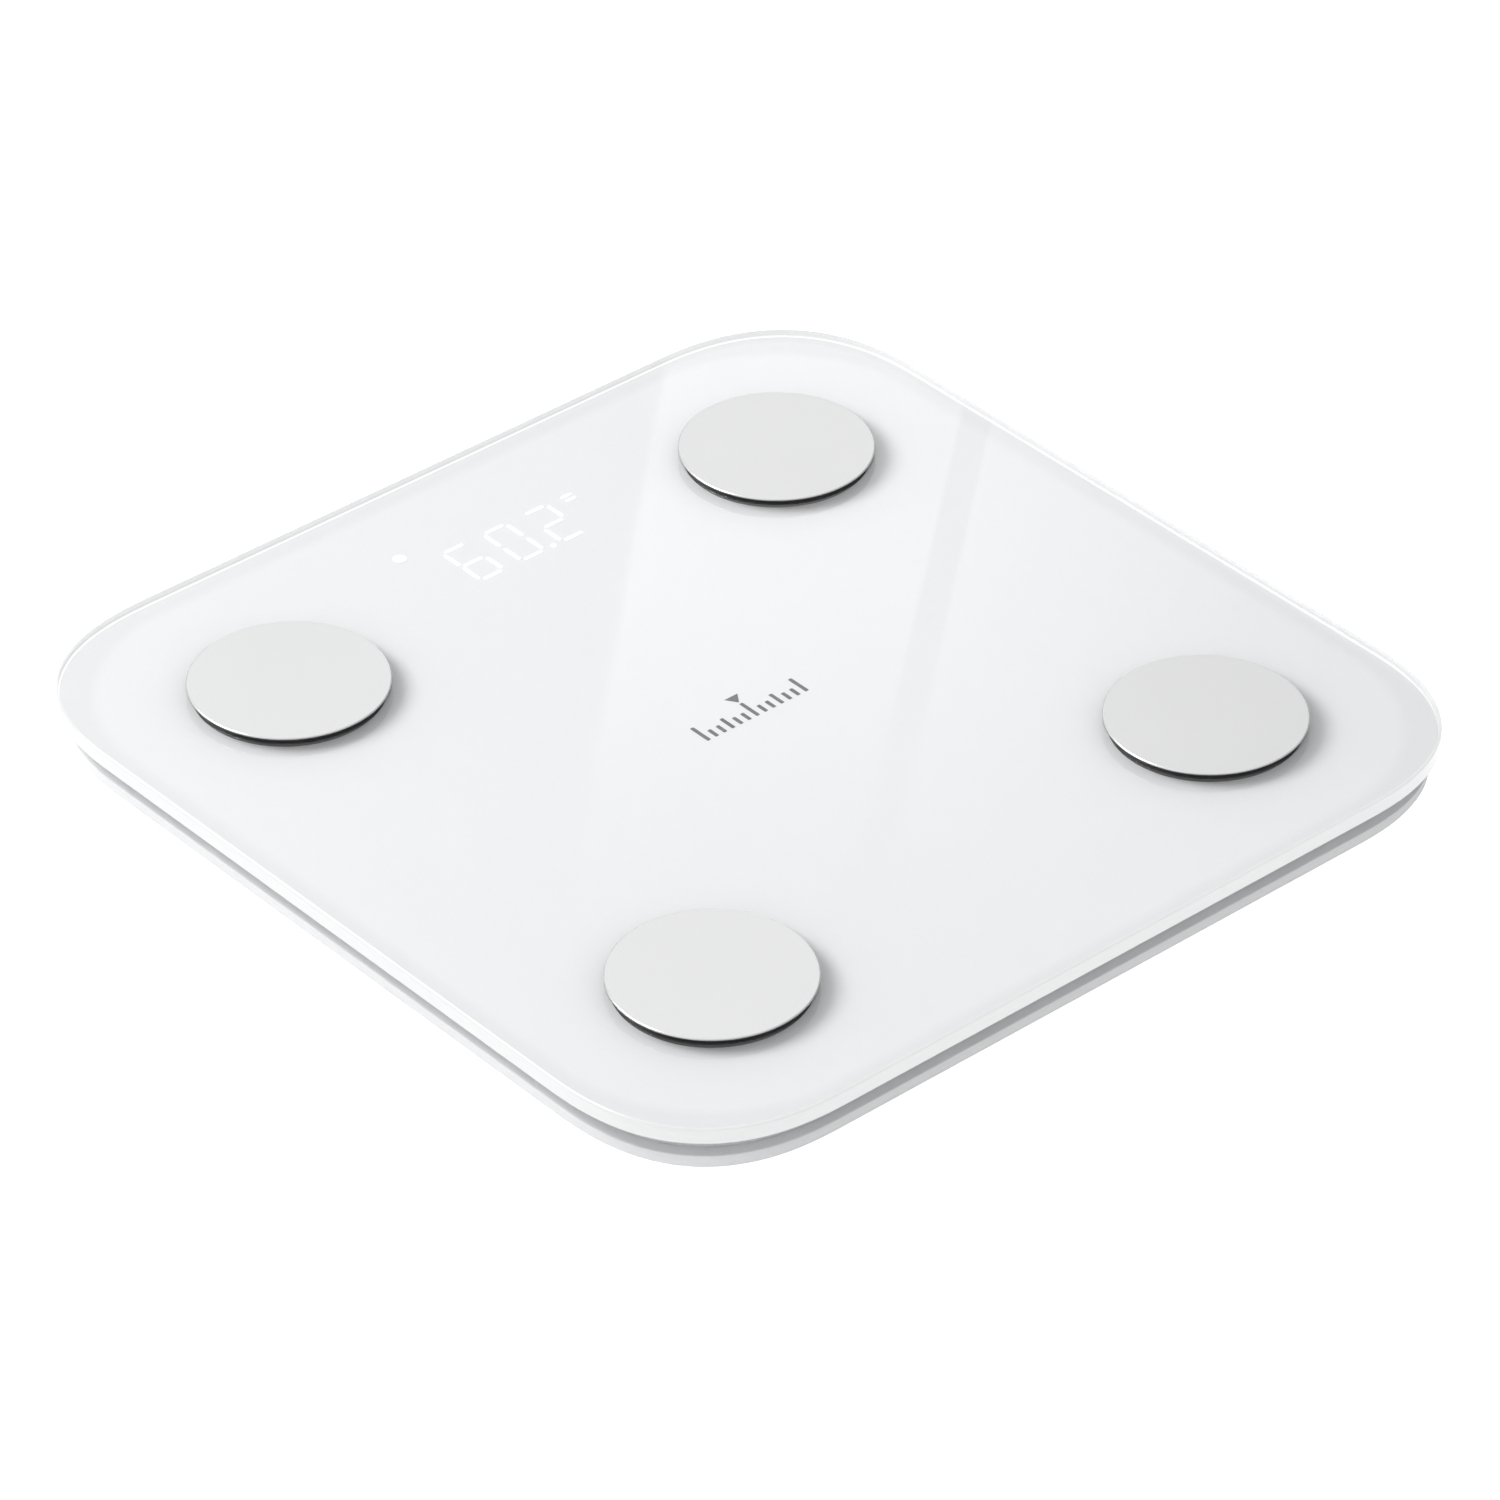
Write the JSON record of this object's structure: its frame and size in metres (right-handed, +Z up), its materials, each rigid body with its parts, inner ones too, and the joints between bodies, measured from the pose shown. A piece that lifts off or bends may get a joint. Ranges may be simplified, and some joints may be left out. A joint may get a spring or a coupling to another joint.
{
  "type": "digital bathroom scale",
  "caption": "Square glass-topped bathroom scale with rounded corners, round steel electrodes, a hidden digital display, sprung feet and a battery bay underneath.",
  "frame": {"origin": "on the floor, under the middle of the platform", "axes": "+Z up, +Y towards the toe end where the display is, +X to the reader's right"},
  "size_m": [0.3, 0.3, 0.0241],
  "materials": {
    "tempered_glass": "clear, polished, with ground edges",
    "white_print": "even white print behind glass",
    "bonding_tape": "dark foam tape",
    "electrode_steel": "satin face with a polished bevel",
    "black_plastic": "moulded black",
    "brass": "plain turned",
    "base_plastic": "fine moulded texture, white",
    "spring_steel": "stamped, nickel-plated",
    "contact_wire": "bright plated wire",
    "foot_plastic": "moulded off-white",
    "foot_rubber": "grey, lightly textured",
    "cell_jacket": "printed jacket, satin",
    "circuit_board": "green solder mask",
    "switch_plunger": "natural nylon",
    "button_plastic": "light grey",
    "display_plastic": "white reflector",
    "light_guide": "milky diffuser",
    "wire_jacket": "PVC insulation"
  },
  "bodies": {
    "platform": {"glass_plate": "tempered_glass", "back_print": "white_print", "bonding_tape": "bonding_tape", "electrode_toe_left": "electrode_steel", "electrode_bush_toe_left": "black_plastic", "electrode_nut_toe_left": "brass", "electrode_toe_right": "electrode_steel", "electrode_bush_toe_right": "black_plastic", "electrode_nut_toe_right": "brass", "electrode_heel_left": "electrode_steel", "electrode_bush_heel_left": "black_plastic", "electrode_nut_heel_left": "brass", "electrode_heel_right": "electrode_steel", "electrode_bush_heel_right": "black_plastic", "electrode_nut_heel_right": "brass", "base_shell": "base_plastic", "load_cell_toe_left": "spring_steel", "load_cell_toe_right": "spring_steel", "load_cell_heel_left": "spring_steel", "load_cell_heel_right": "spring_steel", "battery_link_right": "spring_steel", "battery_link_left": "spring_steel", "battery_terminal_negative": "spring_steel", "battery_terminal_positive": "spring_steel", "battery_cell_1": "cell_jacket", "battery_spring_1": "contact_wire", "battery_cell_2": "cell_jacket", "battery_spring_2": "contact_wire", "battery_cell_3": "cell_jacket", "battery_spring_3": "contact_wire", "main_board": "circuit_board", "board_screw": "spring_steel", "controller_chip": "black_plastic", "unit_switch_body": "black_plastic", "display_housing": "display_plastic", "display_light_guide": "light_guide", "display_board": "circuit_board", "load_cell_wire_toe_left": "wire_jacket", "electrode_wire_toe_left": "wire_jacket", "load_cell_wire_toe_right": "wire_jacket", "electrode_wire_toe_right": "wire_jacket", "load_cell_wire_heel_left": "wire_jacket", "electrode_wire_heel_left": "wire_jacket", "load_cell_wire_heel_right": "wire_jacket", "electrode_wire_heel_right": "wire_jacket", "battery_wire_negative": "black_plastic", "battery_wire_positive": "wire_jacket", "display_ribbon": "wire_jacket"},
    "foot_toe_left": {"foot_toe_left": "foot_plastic", "foot_pad_toe_left": "foot_rubber"},
    "foot_toe_right": {"foot_toe_right": "foot_plastic", "foot_pad_toe_right": "foot_rubber"},
    "foot_heel_left": {"foot_heel_left": "foot_plastic", "foot_pad_heel_left": "foot_rubber"},
    "foot_heel_right": {"foot_heel_right": "foot_plastic", "foot_pad_heel_right": "foot_rubber"},
    "battery_cover": {"battery_cover": "base_plastic"},
    "cover_latch": {"cover_latch": "base_plastic"},
    "unit_button": {"unit_button": "button_plastic"},
    "switch_plunger": {"unit_switch_plunger": "switch_plunger"}
  },
  "joints": [
    {"name": "foot_toe_left_press", "type": "slide", "parent": "platform", "child": "foot_toe_left", "axis": [0, 0, 1], "range_m": [0, 0.0004], "stiffness_N_per_m": 2000, "springref_m": -0.003},
    {"name": "foot_toe_right_press", "type": "slide", "parent": "platform", "child": "foot_toe_right", "axis": [0, 0, 1], "range_m": [0, 0.0004], "stiffness_N_per_m": 2000, "springref_m": -0.003},
    {"name": "foot_heel_left_press", "type": "slide", "parent": "platform", "child": "foot_heel_left", "axis": [0, 0, 1], "range_m": [0, 0.0004], "stiffness_N_per_m": 2000, "springref_m": -0.003},
    {"name": "foot_heel_right_press", "type": "slide", "parent": "platform", "child": "foot_heel_right", "axis": [0, 0, 1], "range_m": [0, 0.0004], "stiffness_N_per_m": 2000, "springref_m": -0.003},
    {"name": "battery_cover_hinge", "type": "hinge", "parent": "platform", "child": "battery_cover", "pos_m": [-0.0272, 0, 0.0033], "axis": [0, 1, 0], "range_deg": [0, 90]},
    {"name": "cover_latch_flex", "type": "hinge", "parent": "battery_cover", "child": "cover_latch", "pos_m": [0.0282, 0, 0.0042], "axis": [0, -1, 0], "range_deg": [0, 6], "stiffness_Nm_per_rad": 0.25},
    {"name": "unit_button_press", "type": "slide", "parent": "platform", "child": "unit_button", "axis": [0, 0, 1], "range_m": [0, 0.0005], "stiffness_N_per_m": 3000},
    {"name": "unit_switch_plunger_slide", "type": "slide", "parent": "platform", "child": "switch_plunger", "axis": [0, 0, 1], "range_m": [0, 0.0003]}
  ],
  "couplings": [
    {"joint": "unit_switch_plunger_slide", "follows": "unit_button_press", "ratio": 0.6}
  ]
}
